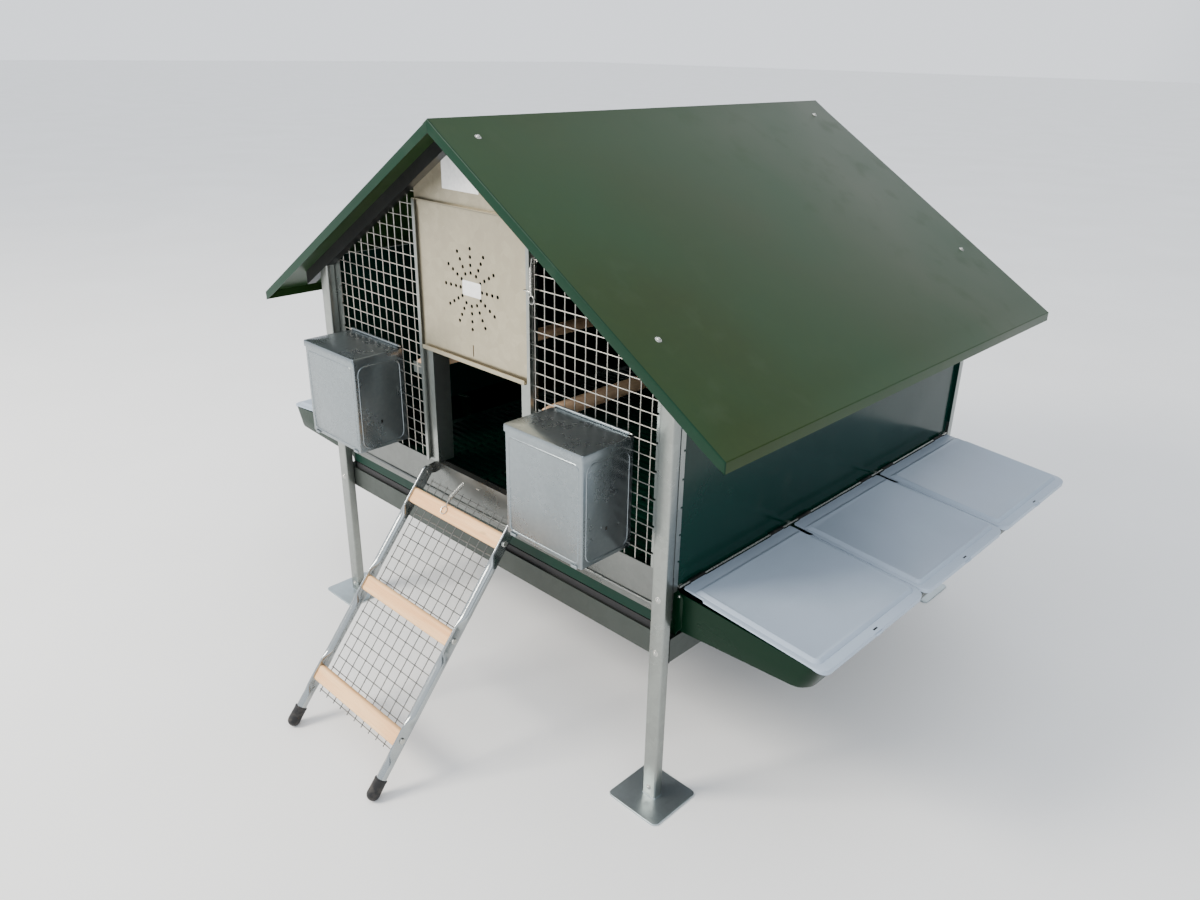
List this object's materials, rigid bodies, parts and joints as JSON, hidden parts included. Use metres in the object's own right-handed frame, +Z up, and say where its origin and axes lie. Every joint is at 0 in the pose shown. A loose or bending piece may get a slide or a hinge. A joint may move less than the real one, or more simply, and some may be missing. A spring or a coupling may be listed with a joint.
{
  "type": "chicken coop",
  "caption": "Raised hen house with sheet gable roof, wire front, sliding pop-hole door, folding ladder, hung feeders and hinged lids over side trays.",
  "frame": {"origin": "on the ground at the middle of the coop's bounding box", "axes": "+Z up, +X to the right when facing the door, +Y from the ladder to the rear wall"},
  "size_m": [1.5828, 1.49, 1.1574],
  "materials": {
    "green_roof": "satin",
    "green_wall": "gloss",
    "green_tub": "satin",
    "grey_lid": "satin",
    "green_grid": "satin",
    "tray_plastic": "matte",
    "rung_wood": "planed",
    "perch_wood": "turned",
    "cap_rubber": "matte",
    "mesh_wire": "galvanised wire",
    "zinc_fastener": "zinc plated",
    "feeder_sheet": "galvanised",
    "rail_steel": "dull galvanised",
    "galvanised": "galvanised"
  },
  "bodies": {
    "coop": {"door_guide_left": "galvanised", "door_guide_right": "galvanised", "feeder_body_left": "feeder_sheet", "feeder_body_right": "feeder_sheet", "feeder_hinge_pins": "zinc_fastener", "floor_grid": "green_grid", "foot_plates": "galvanised", "frame_bolts": "zinc_fastener", "gable_front": "galvanised", "lid_hinge_rods": "zinc_fastener", "mesh_edge_strips": "galvanised", "mesh_left": "mesh_wire", "mesh_right": "mesh_wire", "nest_end_plates": "green_tub", "nest_tray_left": "green_tub", "nest_tray_right": "green_tub", "perch_brackets": "galvanised", "perch_left": "perch_wood", "perch_right": "perch_wood", "post_front_left": "galvanised", "post_front_right": "galvanised", "post_rear_left": "galvanised", "post_rear_right": "galvanised", "rafter_front_left": "galvanised", "rafter_front_right": "galvanised", "rafter_rear_left": "galvanised", "rafter_rear_right": "galvanised", "rail_front": "rail_steel", "rail_left": "rail_steel", "rail_rear": "rail_steel", "rail_right": "rail_steel", "rear_wall": "green_wall", "roof_bolts": "zinc_fastener", "roof_left": "green_roof", "roof_right": "green_roof", "sill_front": "galvanised", "sill_rear": "galvanised", "sill_staple": "zinc_fastener", "wall_left": "green_wall", "wall_right": "green_wall"},
    "door": {"door_panel": "galvanised"},
    "door_catch": {"door_catch": "zinc_fastener"},
    "ladder": {"ladder_rail_left": "galvanised", "ladder_rail_right": "galvanised", "ladder_rung_1": "rung_wood", "ladder_rung_2": "rung_wood", "ladder_rung_3": "rung_wood", "ladder_mesh": "mesh_wire", "ladder_caps": "cap_rubber", "ladder_bolts": "zinc_fastener", "ladder_catch": "zinc_fastener"},
    "feeder_lid_left": {"feeder_lid_left": "feeder_sheet"},
    "feeder_lid_right": {"feeder_lid_right": "feeder_sheet"},
    "droppings_tray": {"droppings_tray": "tray_plastic"},
    "nest_lid_left_1": {"nest_lid_left_1": "grey_lid"},
    "nest_lid_left_2": {"nest_lid_left_2": "grey_lid"},
    "nest_lid_left_3": {"nest_lid_left_3": "grey_lid"},
    "nest_lid_right_1": {"nest_lid_right_1": "grey_lid"},
    "nest_lid_right_2": {"nest_lid_right_2": "grey_lid"},
    "nest_lid_right_3": {"nest_lid_right_3": "grey_lid"}
  },
  "joints": [
    {"name": "door_slide", "type": "slide", "parent": "coop", "child": "door", "axis": [0, 0, -1], "range_m": [0, 0.246]},
    {"name": "ladder_fold", "type": "hinge", "parent": "coop", "child": "ladder", "pos_m": [0, -0.3755, 0.452], "axis": [-1, 0, 0], "range_deg": [0, 132]},
    {"name": "door_catch_swing", "type": "hinge", "parent": "coop", "child": "door_catch", "pos_m": [0.173, -0.3485, 0.9393], "axis": [-1, 0, 0], "range_deg": [0, 60]},
    {"name": "tray_slide", "type": "slide", "parent": "coop", "child": "droppings_tray", "axis": [0, 1, 0], "range_m": [0, 0.9]},
    {"name": "feeder_lid_left_hinge", "type": "hinge", "parent": "coop", "child": "feeder_lid_left", "pos_m": [-0.333, -0.3545, 0.695], "axis": [-1, 0, 0], "range_deg": [0, 80]},
    {"name": "feeder_lid_right_hinge", "type": "hinge", "parent": "coop", "child": "feeder_lid_right", "pos_m": [0.316, -0.3545, 0.695], "axis": [-1, 0, 0], "range_deg": [0, 80]},
    {"name": "nest_lid_left_1_hinge", "type": "hinge", "parent": "coop", "child": "nest_lid_left_1", "pos_m": [-0.5045, -0.16617, 0.4394], "axis": [0, 1, 0], "range_deg": [0, 80]},
    {"name": "nest_lid_left_2_hinge", "type": "hinge", "parent": "coop", "child": "nest_lid_left_2", "pos_m": [-0.5045, 0.1645, 0.4394], "axis": [0, 1, 0], "range_deg": [0, 80]},
    {"name": "nest_lid_left_3_hinge", "type": "hinge", "parent": "coop", "child": "nest_lid_left_3", "pos_m": [-0.5045, 0.49517, 0.4394], "axis": [0, 1, 0], "range_deg": [0, 80]},
    {"name": "nest_lid_right_1_hinge", "type": "hinge", "parent": "coop", "child": "nest_lid_right_1", "pos_m": [0.5045, -0.16617, 0.4394], "axis": [0, -1, 0], "range_deg": [0, 80]},
    {"name": "nest_lid_right_2_hinge", "type": "hinge", "parent": "coop", "child": "nest_lid_right_2", "pos_m": [0.5045, 0.1645, 0.4394], "axis": [0, -1, 0], "range_deg": [0, 80]},
    {"name": "nest_lid_right_3_hinge", "type": "hinge", "parent": "coop", "child": "nest_lid_right_3", "pos_m": [0.5045, 0.49517, 0.4394], "axis": [0, -1, 0], "range_deg": [0, 80]}
  ]
}
